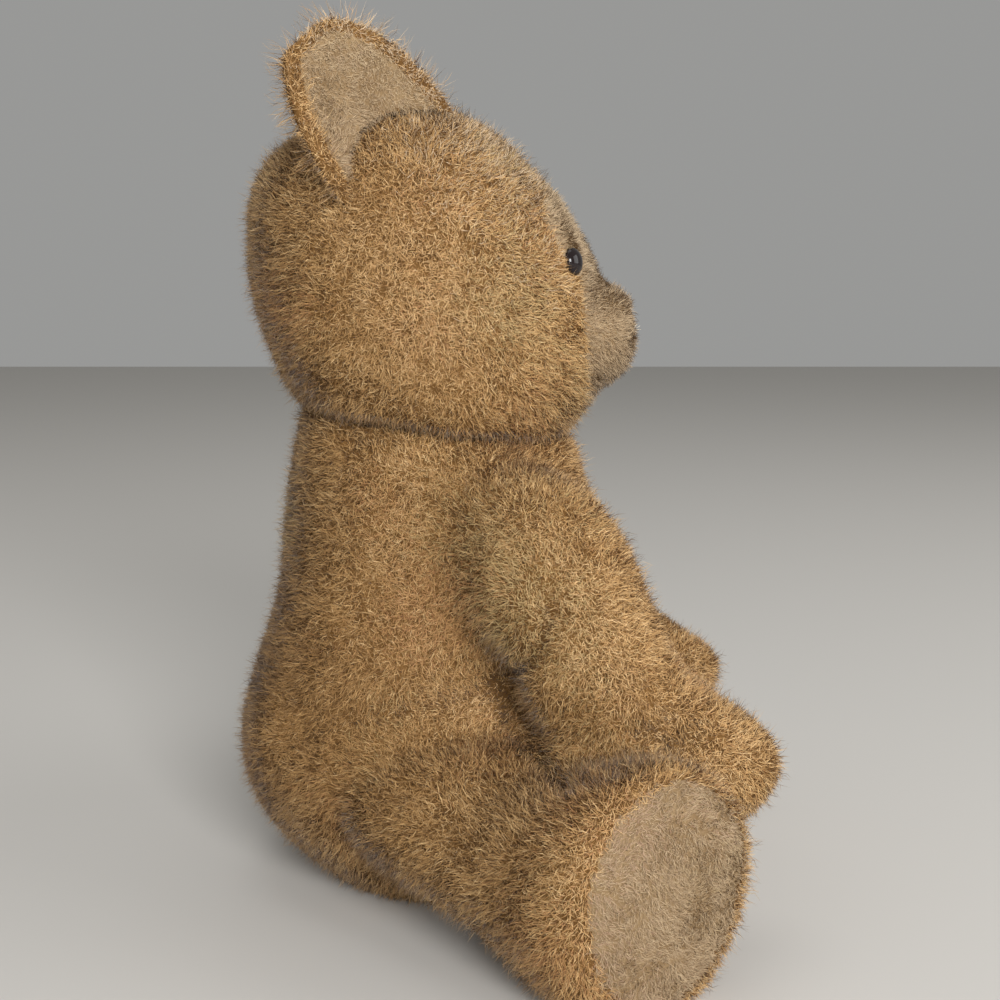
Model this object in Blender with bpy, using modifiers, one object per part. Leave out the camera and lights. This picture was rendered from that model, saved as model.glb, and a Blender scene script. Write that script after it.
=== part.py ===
"""A seated teddy bear without joints: stuffed pile-cloth head, torso, arms and legs sewn together.

The bear faces -Y, its left side is +X, and it sits on the floor at Z = 0. All sizes are metres.
Each stuffed piece is one closed solid of cloth and filling. Neighbours meet at a seam gap.
"""

import math
from collections import namedtuple

import bmesh
import bpy
from mathutils import Matrix, Vector
from mathutils.bvhtree import BVHTree

# Clearances and cloth
SEAM_GAP = 0.0003
CLOTH = 0.0020
PANEL = 0.0017

# Trunk rings: height, then where the back, the widest part and the front are, and half the width
TrunkRing = namedtuple("TrunkRing", "height back widest front half_width")
TORSO_RINGS = (
    TrunkRing(height=-0.008, back=0.0530, widest=0.028, front=0.000, half_width=0.038),
    TrunkRing(height=0.013, back=0.0875, widest=0.033, front=-0.023, half_width=0.062),
    TrunkRing(height=0.042, back=0.1070, widest=0.034, front=-0.040, half_width=0.083),
    TrunkRing(height=0.078, back=0.1065, widest=0.032, front=-0.044, half_width=0.083),
    TrunkRing(height=0.120, back=0.0870, widest=0.028, front=-0.041, half_width=0.072),
    TrunkRing(height=0.235, back=0.0870, widest=0.030, front=-0.010, half_width=0.046),
)
HEAD_RINGS = (
    TrunkRing(height=0.168, back=0.0640, widest=0.030, front=-0.012, half_width=0.042),
    TrunkRing(height=0.189, back=0.0840, widest=0.036, front=-0.031, half_width=0.062),
    TrunkRing(height=0.212, back=0.0940, widest=0.042, front=-0.0375, half_width=0.071),
    TrunkRing(height=0.240, back=0.1005, widest=0.045, front=-0.0355, half_width=0.072),
    TrunkRing(height=0.268, back=0.0985, widest=0.044, front=-0.0235, half_width=0.067),
    TrunkRing(height=0.292, back=0.0870, widest=0.042, front=-0.0045, half_width=0.051),
    TrunkRing(height=0.306, back=0.0580, widest=0.036, front=0.0170, half_width=0.025),
)

# Neck seam: a plane that is higher at the nape than at the throat
NECK_BACK = Vector((0.0, 0.084, 0.1925))
NECK_FRONT = Vector((0.0, -0.028, 0.1770))

# Limb rings: centre, heading in plan away from straight ahead, rise, and half the width and height
LimbRing = namedtuple("LimbRing", "centre heading rise half_width half_height")
LEG_RINGS = (
    LimbRing(centre=(0.036, 0.030, 0.0520), heading=88, rise=0, half_width=0.0460, half_height=0.0330),
    LimbRing(centre=(0.068, 0.017, 0.0500), heading=75, rise=0, half_width=0.0500, half_height=0.0360),
    LimbRing(centre=(0.098, -0.016, 0.0380), heading=56, rise=0, half_width=0.0410, half_height=0.0290),
    LimbRing(centre=(0.129, -0.041, 0.0370), heading=54, rise=-7, half_width=0.0470, half_height=0.0490),
    LimbRing(centre=(0.147, -0.0555, 0.0370), heading=54, rise=0, half_width=0.0400, half_height=0.0470),
)
# The right arm is propped on the foot. The left arm lies lower.
RIGHT_ARM_RINGS = (
    LimbRing(centre=(0.042, 0.014, 0.1630), heading=60, rise=-40, half_width=0.0260, half_height=0.0260),
    LimbRing(centre=(0.072, -0.011, 0.1365), heading=38, rise=-50, half_width=0.0320, half_height=0.0385),
    LimbRing(centre=(0.086, -0.033, 0.0850), heading=6, rise=-60, half_width=0.0265, half_height=0.0265),
    LimbRing(centre=(0.081, -0.074, 0.0670), heading=-8, rise=-32, half_width=0.0220, half_height=0.0235),
    LimbRing(centre=(0.078, -0.0900, 0.0520), heading=-8, rise=-55, half_width=0.0165, half_height=0.0180),
)
LEFT_ARM_RINGS = (
    LimbRing(centre=(0.042, 0.016, 0.1600), heading=60, rise=-40, half_width=0.0260, half_height=0.0260),
    LimbRing(centre=(0.072, -0.004, 0.1280), heading=38, rise=-54, half_width=0.0320, half_height=0.0350),
    LimbRing(centre=(0.087, -0.027, 0.0810), heading=6, rise=-46, half_width=0.0265, half_height=0.0270),
    LimbRing(centre=(0.083, -0.078, 0.0590), heading=-8, rise=-16, half_width=0.0215, half_height=0.0205),
    LimbRing(centre=(0.080, -0.0945, 0.0530), heading=-8, rise=-30, half_width=0.0155, half_height=0.0155),
)
# The sole seam is square to the foot, this far behind its outermost ring
SOLE_BEHIND = 0.0065
# The paw pad is round, faces the belly and the floor, and sits at this ring of the arm
PAD_RING = 3
PAW_PAD_RADIUS = 0.0150
PAW_PAD_FACING = Vector((-0.50, 0.10, -0.86))

# Ears: the two ends of the base seam on the head, and the size of the ear above it
EAR_FRONT_END = Vector((0.033, 0.022, 0.296))
EAR_REAR_END = Vector((0.062, 0.052, 0.268))
EAR_STANDS = Vector((0.257, 0.584, 0.770))
EAR_WIDTH = 0.064
EAR_HEIGHT = 0.056
EAR_ROUNDNESS = 2.5
EAR_TOP_ANGLE = 78.5
EAR_TOP_CUP = 0.6
EAR_COLUMNS = 5
EAR_ROWS = 3
EAR_SUNK = 0.010
EAR_CUP = 0.010
EAR_THICKNESS = 0.0055
LINING_THICKNESS = 0.0022
LINING_INSET = 0.0060
LINING_PROUD = 0.0010

# Face: the muzzle and the plush panel's cheeks follow the nose, and the panel's brow follows the eyes
NOSE_HEIGHT = 0.2225
EYE_HEIGHT = 0.2455
MuzzleRing = namedtuple("MuzzleRing", "forward below_nose half_width half_height")
MUZZLE_RINGS = (
    MuzzleRing(forward=0.0100, below_nose=0.0095, half_width=0.0310, half_height=0.0250),
    MuzzleRing(forward=0.0370, below_nose=0.0045, half_width=0.0300, half_height=0.0225),
    MuzzleRing(forward=0.0500, below_nose=0.0020, half_width=0.0180, half_height=0.0135),
)
# Heights above the nose or the eyes, each with half the panel's width there
CHEEK_OUTLINE = ((-0.0325, 0.0140), (-0.0195, 0.0260), (-0.0005, 0.0315), (0.0155, 0.0300))
BROW_OUTLINE = ((0.0025, 0.0345), (0.0145, 0.0380), (0.0245, 0.0290), (0.0320, 0.0120))
EYE_SPACING = 0.0660
EYE_RADIUS = 0.0055
EYE_DOME = 0.0038
EYE_EDGE = 0.0006
EYE_FACING = Vector((0.42, -0.90, 0.10))
SHANK_RADIUS = 0.0014
SHANK_LENGTH = 0.0110
WASHER_RADIUS = 0.0055
WASHER_THICKNESS = 0.0012
NOSE_WIDTH = 0.0190
NOSE_TALL = 0.0130
# Corners of the nose, as shares of half its width and half its height
NOSE_CORNERS = ((-1.0, 0.6), (-0.55, 1.0), (0.55, 1.0), (1.0, 0.6), (0.62, -0.45), (0.0, -1.0), (-0.62, -0.45))
THREAD_RADIUS = 0.0006
STITCH_SPACING = 0.0018
MOUTH_DROP = 0.0100
MOUTH_REACH = 0.0090
MOUTH_FALL = 0.0045

# Faceting
TRUNK_SIDES = 8
LIMB_SIDES = 6
SMOOTH_LEVELS = 2
TURN_STEPS = 12
DOME_STEPS = 4
OUTLINE_STEPS = 2
STITCH_STEPS = 5
STITCH_SIDE_STEPS = 1
WELD = 0.00001
REACH = 0.4

# Materials: colour and roughness
Finish = namedtuple("Finish", "colour roughness")
MOHAIR = Finish(colour=(0.45, 0.27, 0.12), roughness=0.9)
PLUSH = Finish(colour=(0.55, 0.38, 0.22), roughness=0.9)
GLOSS = Finish(colour=(0.012, 0.008, 0.008), roughness=0.08)
NYLON = Finish(colour=(0.75, 0.74, 0.70), roughness=0.5)
THREAD = Finish(colour=(0.02, 0.016, 0.014), roughness=0.6)

ACROSS = Vector((1, 0, 0))
BACKWARD = Vector((0, 1, 0))
UPWARD = Vector((0, 0, 1))


def clear_scene():
    for obj in list(bpy.data.objects):
        bpy.data.objects.remove(obj, do_unlink=True)


def new_collection(name):
    collection = bpy.data.collections.new(name)
    bpy.context.scene.collection.children.link(collection)
    return collection


def new_material(name, finish):
    material = bpy.data.materials.new(name)
    material.use_nodes = True
    shader = material.node_tree.nodes["Principled BSDF"]
    shader.inputs["Base Color"].default_value = (*finish.colour, 1.0)
    shader.inputs["Roughness"].default_value = finish.roughness
    shader.inputs["Metallic"].default_value = 0.0
    return material


def add(name, mesh, material=None):
    """A new object. With a material it is a piece of the bear, and without one it is a cutter."""
    obj = bpy.data.objects.new(name, mesh)
    obj.parent = origin
    if material is None:
        cutters.objects.link(obj)
        obj.hide_render = True
        obj.display_type = "WIRE"
        return obj
    pieces.objects.link(obj)
    mesh.materials.clear()
    mesh.materials.append(material)
    mesh.shade_smooth()
    return obj


def smooth(obj, levels=SMOOTH_LEVELS):
    modifier = obj.modifiers.new("smooth", "SUBSURF")
    modifier.levels = levels
    modifier.render_levels = levels


def inflate(obj, distance):
    modifier = obj.modifiers.new("inflate", "DISPLACE")
    modifier.strength = distance
    modifier.mid_level = 0.0


def boolean(obj, operation, other):
    modifier = obj.modifiers.new(operation.lower(), "BOOLEAN")
    modifier.operation = operation
    modifier.object = other


def inflated(name, form, distance):
    """A cutter: the whole form of a piece, swollen by a clearance or a cloth's thickness."""
    cutter = add(name, form.data)
    smooth(cutter)
    inflate(cutter, distance)
    return cutter


def half_space(name, point, facing):
    """A cutter: a large cube whose one face lies at the point and that fills the side that facing points to."""
    mesh = bpy.data.meshes.new(name)
    shape = bmesh.new()
    bmesh.ops.create_cube(shape, size=REACH)
    turn = facing.to_track_quat("Z", "Y").to_matrix().to_4x4()
    stand = Matrix.Translation(point + facing.normalized() * REACH / 2) @ turn
    bmesh.ops.transform(shape, matrix=stand, verts=shape.verts)
    shape.to_mesh(mesh)
    shape.free()
    return add(name, mesh)


def prism(name, outline, origin_point, across, up, along, length):
    """A cutter: a flat outline, given in across and up, drawn out along a direction."""
    mesh = bpy.data.meshes.new(name)
    shape = bmesh.new()
    corners = [shape.verts.new(origin_point + across * a + up * b) for a, b in outline]
    face = shape.faces.new(corners)
    drawn = bmesh.ops.extrude_face_region(shape, geom=[face])
    moved = [part for part in drawn["geom"] if isinstance(part, bmesh.types.BMVert)]
    bmesh.ops.translate(shape, vec=along * length, verts=moved)
    bmesh.ops.recalc_face_normals(shape, faces=shape.faces)
    shape.to_mesh(mesh)
    shape.free()
    return add(name, mesh)


def cage(name, rings):
    """A coarse closed cage through rings of corners, capped at both ends."""
    mesh = bpy.data.meshes.new(name)
    shape = bmesh.new()
    loops = [[shape.verts.new(corner) for corner in ring] for ring in rings]
    for lower, upper in zip(loops, loops[1:]):
        for i in range(len(lower)):
            j = (i + 1) % len(lower)
            shape.faces.new((lower[i], lower[j], upper[j], upper[i]))
    shape.faces.new(reversed(loops[0]))
    shape.faces.new(loops[-1])
    bmesh.ops.recalc_face_normals(shape, faces=shape.faces)
    shape.to_mesh(mesh)
    shape.free()
    return mesh


def ring_corners(centre, across, up, half_width, above, below, sides):
    """One ring of a cage, drawn larger so that the rounded form comes out at its stated size."""
    swell = 3.0 / (2.0 + math.cos(2 * math.pi / sides))
    corners = []
    for i in range(sides):
        turn = 2 * math.pi * (i + 0.5) / sides
        upward = math.sin(turn) * (above if math.sin(turn) > 0 else below)
        sideways = math.cos(turn) * half_width
        corners.append(Vector(centre) + (across * sideways + up * upward) * swell)
    return corners


def trunk_cage(name, rings):
    """The torso's or the head's cage, from level egg-shaped rings."""
    corners = []
    for ring in rings:
        middle = Vector((0.0, ring.widest, ring.height))
        corners.append(ring_corners(middle, ACROSS, BACKWARD, ring.half_width,
                                    ring.back - ring.widest, ring.widest - ring.front, TRUNK_SIDES))
    return cage(name, corners)


def muzzle_cage(name):
    corners = []
    for ring in MUZZLE_RINGS:
        middle = Vector((0.0, -ring.forward, NOSE_HEIGHT - ring.below_nose))
        corners.append(ring_corners(middle, ACROSS, UPWARD, ring.half_width,
                                    ring.half_height, ring.half_height, TRUNK_SIDES))
    return cage(name, corners)


def limb_axes(ring):
    """The directions along, across and up at a ring of a limb on the bear's left."""
    heading, rise = math.radians(ring.heading), math.radians(ring.rise)
    level = Vector((math.sin(heading), -math.cos(heading), 0.0))
    along = level * math.cos(rise) + Vector((0, 0, math.sin(rise)))
    across = Vector((math.cos(heading), math.sin(heading), 0.0))
    return along, across, across.cross(along)


def limb_cage(name, rings, side):
    corners = []
    for ring in rings:
        _, across, up = limb_axes(ring)
        drawn = ring_corners(ring.centre, across, up, ring.half_width,
                             ring.half_height, ring.half_height, LIMB_SIDES)
        corners.append([mirrored(corner, side) for corner in drawn])
    return cage(name, corners)


def mirrored(point, side):
    """A point or direction given for the bear's left (side 1), brought to that side."""
    return Vector((point[0] * side, point[1], point[2]))


def surfaces(*objects):
    """The evaluated surfaces of some objects, for finding where another piece touches them."""
    bpy.context.view_layer.update()
    graph = bpy.context.evaluated_depsgraph_get()
    return [BVHTree.FromObject(obj, graph) for obj in objects]


def seen_from_front(trees, across, height):
    """The point and outward direction of the surface that shows at this place, looking from the front."""
    start = Vector((across, -REACH, height))
    hits = [tree.ray_cast(start, BACKWARD) for tree in trees]
    point, facing, _, _ = min((hit for hit in hits if hit[0]), key=lambda hit: hit[3])
    return point, facing


def turned(name, profile, material=None):
    """A turned piece or cutter, from a profile of (radius, height) that runs down its outer side."""
    mesh = bpy.data.meshes.new(name)
    mesh.from_pydata([(r, 0.0, z) for r, z in profile], [(i, i + 1) for i in range(len(profile) - 1)], [])
    obj = add(name, mesh, material)
    screw = obj.modifiers.new("turn", "SCREW")
    screw.steps = TURN_STEPS
    screw.render_steps = TURN_STEPS
    screw.use_merge_vertices = True
    screw.merge_threshold = WELD
    return obj


def rounded(corners):
    """A line through the corners that bends smoothly at each of them."""
    ends = [corners[0], *corners, corners[-1]]
    line = []
    for before, start, end, after in zip(ends, ends[1:], ends[2:], ends[3:]):
        for i in range(OUTLINE_STEPS):
            t = i / OUTLINE_STEPS
            line.append(tuple(
                b + 0.5 * t * (c - a + t * (2 * a - 5 * b + 4 * c - d + t * (3 * (b - c) + d - a)))
                for a, b, c, d in zip(before, start, end, after)))
    return line + [corners[-1]]


def place(obj, point, facing):
    """Stands an object's own Z axis along a direction at a point."""
    obj.location = point
    obj.rotation_mode = "QUATERNION"
    obj.rotation_quaternion = facing.to_track_quat("Z", "Y")


def make_trunk():
    """Torso and head, parted at the neck seam."""
    run = (NECK_FRONT - NECK_BACK).normalized()
    neck_up = ACROSS.cross(run)
    if neck_up.z < 0:
        neck_up = -neck_up
    above = half_space("above_neck", NECK_BACK - neck_up * SEAM_GAP / 2, neck_up)
    below = half_space("below_neck", NECK_BACK + neck_up * SEAM_GAP / 2, -neck_up)
    torso = add("torso", trunk_cage("torso", TORSO_RINGS), mohair)
    smooth(torso)
    boolean(torso, "DIFFERENCE", above)
    boolean(torso, "DIFFERENCE", floor)
    head = add("head", trunk_cage("head", HEAD_RINGS), mohair)
    smooth(head)
    boolean(head, "DIFFERENCE", below)
    return torso, head


def make_leg(side, word, torso_clear):
    """A leg and the sole pad that closes its foot, parted at the sole seam."""
    leg = add(f"leg_{word}", limb_cage(f"leg_{word}", LEG_RINGS, side), mohair)
    along = mirrored(limb_axes(LEG_RINGS[-1])[0], side)
    seam = mirrored(LEG_RINGS[-1].centre, side) - along * SOLE_BEHIND
    beyond = half_space(f"beyond_sole_{word}", seam - along * SEAM_GAP / 2, along)
    behind = half_space(f"behind_sole_{word}", seam + along * SEAM_GAP / 2, -along)
    pad = add(f"foot_pad_{word}", leg.data.copy(), plush)
    for obj, cutter in ((leg, beyond), (pad, behind)):
        smooth(obj)
        boolean(obj, "DIFFERENCE", cutter)
        boolean(obj, "DIFFERENCE", floor)
    boolean(leg, "DIFFERENCE", torso_clear)
    return leg


def make_arm(side, word, leg, torso_clear, head_clear):
    """An arm, resting against the foot, and the plush pad on its paw."""
    rings = LEFT_ARM_RINGS if side > 0 else RIGHT_ARM_RINGS
    arm = add(f"arm_{word}", limb_cage(f"arm_{word}", rings, side), mohair)
    smooth(arm)
    leg_clear = inflated(f"leg_clear_{word}", leg, SEAM_GAP)
    for cutter in (torso_clear, head_clear, leg_clear):
        boolean(arm, "DIFFERENCE", cutter)
    facing = mirrored(PAW_PAD_FACING, side).normalized()
    centre = mirrored(rings[PAD_RING].centre, side)
    across = facing.orthogonal().normalized()
    outline = [(PAW_PAD_RADIUS * math.cos(2 * math.pi * i / TURN_STEPS),
                PAW_PAD_RADIUS * math.sin(2 * math.pi * i / TURN_STEPS)) for i in range(TURN_STEPS)]
    column = prism(f"paw_column_{word}", outline, centre, across, facing.cross(across), facing, REACH / 4)
    pad = add(f"paw_pad_{word}", arm.data.copy(), plush)
    smooth(pad)
    inflate(pad, PANEL)
    boolean(pad, "INTERSECT", column)
    boolean(pad, "DIFFERENCE", inflated(f"arm_clear_{word}", arm, SEAM_GAP))
    boolean(pad, "DIFFERENCE", leg_clear)


def ear_sheet(name, side, inset, proud):
    """An ear's cupped half-round sheet, standing on the base seam. Its faces look out of the cup."""
    middle = (EAR_REAR_END + EAR_FRONT_END) / 2
    along = (EAR_REAR_END - EAR_FRONT_END).normalized()
    away = (EAR_STANDS - along * EAR_STANDS.dot(along)).normalized()
    front = along.cross(away)
    if front.y > 0:
        front = -front
    half, tall = EAR_WIDTH / 2 - inset, EAR_HEIGHT - inset
    mesh = bpy.data.meshes.new(name)
    shape = bmesh.new()
    bmesh.ops.create_grid(shape, x_segments=EAR_COLUMNS, y_segments=EAR_ROWS, size=1.0)
    for vertex in shape.verts:
        share = (vertex.co.y + 1) / 2
        height = (tall + EAR_SUNK) * math.sin(share * math.radians(EAR_TOP_ANGLE)) - EAR_SUNK
        level = max(height, 0.0) / tall
        reach = half * (1 - level ** EAR_ROUNDNESS) ** (1 / EAR_ROUNDNESS)
        x = reach * math.sin(vertex.co.x * math.pi / 2)
        hollow = EAR_CUP * (1 - (2 * x / EAR_WIDTH) ** 2 - (level * EAR_TOP_CUP) ** 2)
        vertex.co = mirrored(middle + along * x + away * height + front * (proud - hollow), side)
    shape.normal_update()
    if sum((face.normal for face in shape.faces), Vector()).dot(mirrored(front, side)) < 0:
        bmesh.ops.reverse_faces(shape, faces=shape.faces)
    shape.to_mesh(mesh)
    shape.free()
    return mesh


def thicken(obj, thickness):
    """Thickens a sheet away from its front, and rounds its edge."""
    solid = obj.modifiers.new("thickness", "SOLIDIFY")
    solid.thickness = thickness
    solid.offset = -1.0
    smooth(obj, 1)


def make_ear(side, word, head_clear):
    """The pile-cloth back of an ear, and the plush lining let into its hollow front."""
    back = add(f"ear_{word}", ear_sheet(f"ear_{word}", side, 0.0, 0.0), mohair)
    thicken(back, EAR_THICKNESS)
    lining_sheet = ear_sheet(f"ear_lining_{word}", side, LINING_INSET, LINING_PROUD)
    bed = add(f"ear_bed_{word}", lining_sheet.copy())
    thicken(bed, LINING_THICKNESS)
    inflate(bed, SEAM_GAP)
    lining = add(f"ear_lining_{word}", lining_sheet, plush)
    thicken(lining, LINING_THICKNESS)
    boolean(back, "DIFFERENCE", bed)
    for panel in (back, lining):
        boolean(panel, "DIFFERENCE", head_clear)


def panel_outline():
    """The plush panel's outline seen from the front, from the chin round to the chin."""
    corners = [(w, NOSE_HEIGHT + above) for above, w in CHEEK_OUTLINE]
    corners += [(w, EYE_HEIGHT + above) for above, w in BROW_OUTLINE]
    half = rounded(sorted(corners, key=lambda corner: corner[1]))
    return half + [(-w, z) for w, z in reversed(half)]


def make_muzzle(head, head_clear, torso_clear):
    """The pale plush face: a stuffed muzzle in one piece with the panel that runs up between the eyes."""
    window = prism("panel_window", panel_outline(), -BACKWARD * REACH / 2,
                   ACROSS, UPWARD, BACKWARD, REACH / 2)
    cloth = inflated("panel_cloth", head, PANEL + SEAM_GAP)
    boolean(cloth, "INTERSECT", window)
    muzzle = add("muzzle", muzzle_cage("muzzle"), plush)
    smooth(muzzle)
    boolean(muzzle, "UNION", cloth)
    for cutter in (head_clear, torso_clear):
        boolean(muzzle, "DIFFERENCE", cutter)
    return muzzle


def make_eye(side, word, face_trees, head, muzzle):
    """A domed button eye on a shank, and the washer that holds it behind the cloth."""
    point, _ = seen_from_front(face_trees, side * EYE_SPACING / 2, EYE_HEIGHT)
    facing = mirrored(EYE_FACING, side).normalized()
    bends = [math.pi / 2 * i / DOME_STEPS for i in range(DOME_STEPS + 1)]
    dome = [(EYE_RADIUS * math.sin(bend), EYE_DOME * math.cos(bend)) for bend in bends]
    eye = turned(f"eye_{word}", dome + [
        (EYE_RADIUS, -EYE_EDGE), (SHANK_RADIUS, -EYE_EDGE),
        (SHANK_RADIUS, -SHANK_LENGTH), (0.0, -SHANK_LENGTH)], gloss)
    top = -CLOTH - PANEL - SEAM_GAP
    bottom = top - WASHER_THICKNESS
    bore = SHANK_RADIUS + SEAM_GAP / 2
    washer = turned(f"eye_washer_{word}", [
        (bore, top), (WASHER_RADIUS, top), (WASHER_RADIUS, bottom), (bore, bottom), (bore, top)], nylon)
    wide, hole, room = EYE_RADIUS + SEAM_GAP, SHANK_RADIUS + SEAM_GAP, WASHER_RADIUS + SEAM_GAP
    pocket = turned(f"eye_pocket_{word}", [
        (0.0, EYE_DOME + CLOTH), (wide, EYE_DOME + CLOTH), (wide, -EYE_EDGE - SEAM_GAP),
        (hole, -EYE_EDGE - SEAM_GAP), (hole, top + SEAM_GAP), (room, top + SEAM_GAP),
        (room, bottom - SEAM_GAP), (hole, bottom - SEAM_GAP),
        (hole, -SHANK_LENGTH - SEAM_GAP), (0.0, -SHANK_LENGTH - SEAM_GAP)])
    for obj in (eye, washer, pocket):
        place(obj, point, facing)
    for obj in (head, muzzle):
        boolean(obj, "DIFFERENCE", pocket)


def make_nose():
    """The embroidered nose: a pad of satin stitches, wider at the top."""
    outline = [(x * NOSE_WIDTH / 2, z * NOSE_TALL / 2) for x, z in NOSE_CORNERS]
    behind = Vector((0, -MUZZLE_RINGS[1].forward, NOSE_HEIGHT))
    window = prism("nose_window", outline, behind, ACROSS, UPWARD, -BACKWARD, REACH / 4)
    nose = add("nose", muzzle_cage("nose"), thread)
    smooth(nose)
    inflate(nose, PANEL)
    boolean(nose, "INTERSECT", window)
    under = add("muzzle_clear", muzzle_cage("muzzle_clear"))
    smooth(under)
    inflate(under, SEAM_GAP)
    boolean(nose, "DIFFERENCE", under)


def make_stitch(name, start, end, face_trees):
    """One straight stitch, given by its ends as seen from the front, laid along the muzzle."""
    curve = bpy.data.curves.new(name, "CURVE")
    curve.dimensions = "3D"
    curve.bevel_depth = THREAD_RADIUS
    curve.bevel_resolution = STITCH_SIDE_STEPS
    curve.use_fill_caps = True
    curve.materials.append(thread)
    spline = curve.splines.new("POLY")
    spline.points.add(STITCH_STEPS)
    for i, corner in enumerate(spline.points):
        share = i / STITCH_STEPS
        x = start[0] + (end[0] - start[0]) * share
        z = start[1] + (end[1] - start[1]) * share
        point, facing = seen_from_front(face_trees, x, z)
        corner.co = (*(point + facing * (THREAD_RADIUS + 2 * SEAM_GAP)), 1.0)
    stitch = bpy.data.objects.new(name, curve)
    stitch.parent = origin
    pieces.objects.link(stitch)


def make_mouth(face_trees):
    """One stitch down from the nose and two that part below it."""
    top = NOSE_HEIGHT - NOSE_TALL / 2 - STITCH_SPACING
    fork = top - MOUTH_DROP
    make_stitch("mouth_stitch_middle", (0.0, top), (0.0, fork + STITCH_SPACING), face_trees)
    for side, word in ((-1, "right"), (1, "left")):
        start = (side * STITCH_SPACING, fork)
        end = (side * MOUTH_REACH, fork - MOUTH_FALL)
        make_stitch(f"mouth_stitch_{word}", start, end, face_trees)


def stand_on_origin():
    """Moves the whole bear so that its box stands centred on the world's origin."""
    bpy.context.view_layer.update()
    graph = bpy.context.evaluated_depsgraph_get()
    reaches = []
    for obj in pieces.objects:
        shown = obj.evaluated_get(graph)
        reaches += [(shown.matrix_world @ vertex.co).y for vertex in shown.to_mesh().vertices]
        shown.to_mesh_clear()
    low, high = min(reaches), max(reaches)
    origin.location.y = -(low + high) / 2


clear_scene()
pieces = new_collection("teddy_bear")
cutters = new_collection("cutters")
origin = bpy.data.objects.new("bear_origin", None)
bpy.context.scene.collection.objects.link(origin)
mohair = new_material("mohair", MOHAIR)
plush = new_material("short_plush", PLUSH)
gloss = new_material("black_eye", GLOSS)
nylon = new_material("white_nylon", NYLON)
thread = new_material("black_thread", THREAD)

floor = half_space("floor", Vector((0, 0, 0)), -UPWARD)
torso_piece, head_piece = make_trunk()
torso_space = inflated("torso_clear", torso_piece, SEAM_GAP)
head_space = inflated("head_clear", head_piece, SEAM_GAP)
muzzle_piece = make_muzzle(head_piece, head_space, torso_space)
for one_side, side_word in ((-1, "right"), (1, "left")):
    leg_piece = make_leg(one_side, side_word, torso_space)
    make_arm(one_side, side_word, leg_piece, torso_space, head_space)
    make_ear(one_side, side_word, head_space)
face = surfaces(muzzle_piece, head_piece)
make_nose()
make_mouth(face)
for one_side, side_word in ((-1, "right"), (1, "left")):
    make_eye(one_side, side_word, face, head_piece, muzzle_piece)
stand_on_origin()
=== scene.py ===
"""The looks of the seated teddy bear: skins with folds, a coat of real strands, eyes, nose and mouth.

Every soft solid of the frame gets a finer skin of the same shape, with lumps and creases, and the
pile and plush grow from those skins as narrow triangles. All sizes are metres.
"""

import math
from collections import namedtuple

import bmesh
import bpy
import numpy as np
from mathutils import Matrix, Vector, noise
from mathutils.bvhtree import BVHTree
from mathutils.kdtree import KDTree


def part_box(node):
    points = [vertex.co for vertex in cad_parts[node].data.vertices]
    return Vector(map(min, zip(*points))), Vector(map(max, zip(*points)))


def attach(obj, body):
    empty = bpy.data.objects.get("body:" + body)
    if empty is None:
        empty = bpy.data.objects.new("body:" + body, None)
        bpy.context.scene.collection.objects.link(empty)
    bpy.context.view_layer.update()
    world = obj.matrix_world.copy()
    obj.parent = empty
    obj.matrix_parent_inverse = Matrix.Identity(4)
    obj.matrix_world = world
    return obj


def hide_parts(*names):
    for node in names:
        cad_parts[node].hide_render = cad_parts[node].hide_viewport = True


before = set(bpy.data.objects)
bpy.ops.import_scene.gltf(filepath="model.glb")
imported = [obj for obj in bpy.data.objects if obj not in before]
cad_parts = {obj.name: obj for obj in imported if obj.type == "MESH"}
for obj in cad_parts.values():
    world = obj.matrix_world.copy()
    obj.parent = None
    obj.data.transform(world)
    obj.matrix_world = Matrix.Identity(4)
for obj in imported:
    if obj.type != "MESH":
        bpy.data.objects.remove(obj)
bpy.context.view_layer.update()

MM = 0.001
SQUARE_CM = 0.0001
SMALL = 1e-9
SMALLEST = 1e-12
SEED = 7
SEED_STEP = 1000
SIDES = ((-1, "right"), (1, "left"))

# Without this, the noise vectors that comb the strands are seeded from the clock and differ each run
noise.seed_set(SEED)

# The photograph: 1000 pixels square, from the bear's right side
PHOTO_SIZE = 1000
FOCAL_PIXELS = 1600.0
CAMERA_AT = Vector((-0.64, 0.0, 0.238))
CAMERA_PITCH = math.radians(7.7)
SENSOR = 36.0

# Skins: voxel size, rounds of smoothing, and the lumps of the filling
BODY_VOXEL = 2.7 * MM
HEAD_VOXEL = 2.5 * MM
EAR_VOXEL = 1.5 * MM
WELD = 0.01 * MM
OVERLAP = 0.4 * MM
EVEN_ROUNDS = 4
EVEN_SHARE = 0.5
LUMP_SIZE = 0.030
LUMP_HEIGHT = 1.3 * MM
LUMP_WAYS = (1.7, 0.3, 2.9)

# Where the upper arm runs smoothly into the body: middle and reach of each place, and how it fades out
BLENDS = ((Vector((0.052, 0.012, 0.150)), 0.042), (Vector((0.074, 0.012, 0.116)), 0.025))
BLEND_ROUNDS = 50
BLEND_EDGE = 1.5
BLEND_SHARE = 0.8

# How far the skins are drawn in for the pile, and the height above a neighbour from which they are
PILE_ROOM = 1.5 * MM
PILE_ROOM_FROM = 3 * PILE_ROOM
EAR_PILE_ROOM = 0.5 * MM

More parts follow.
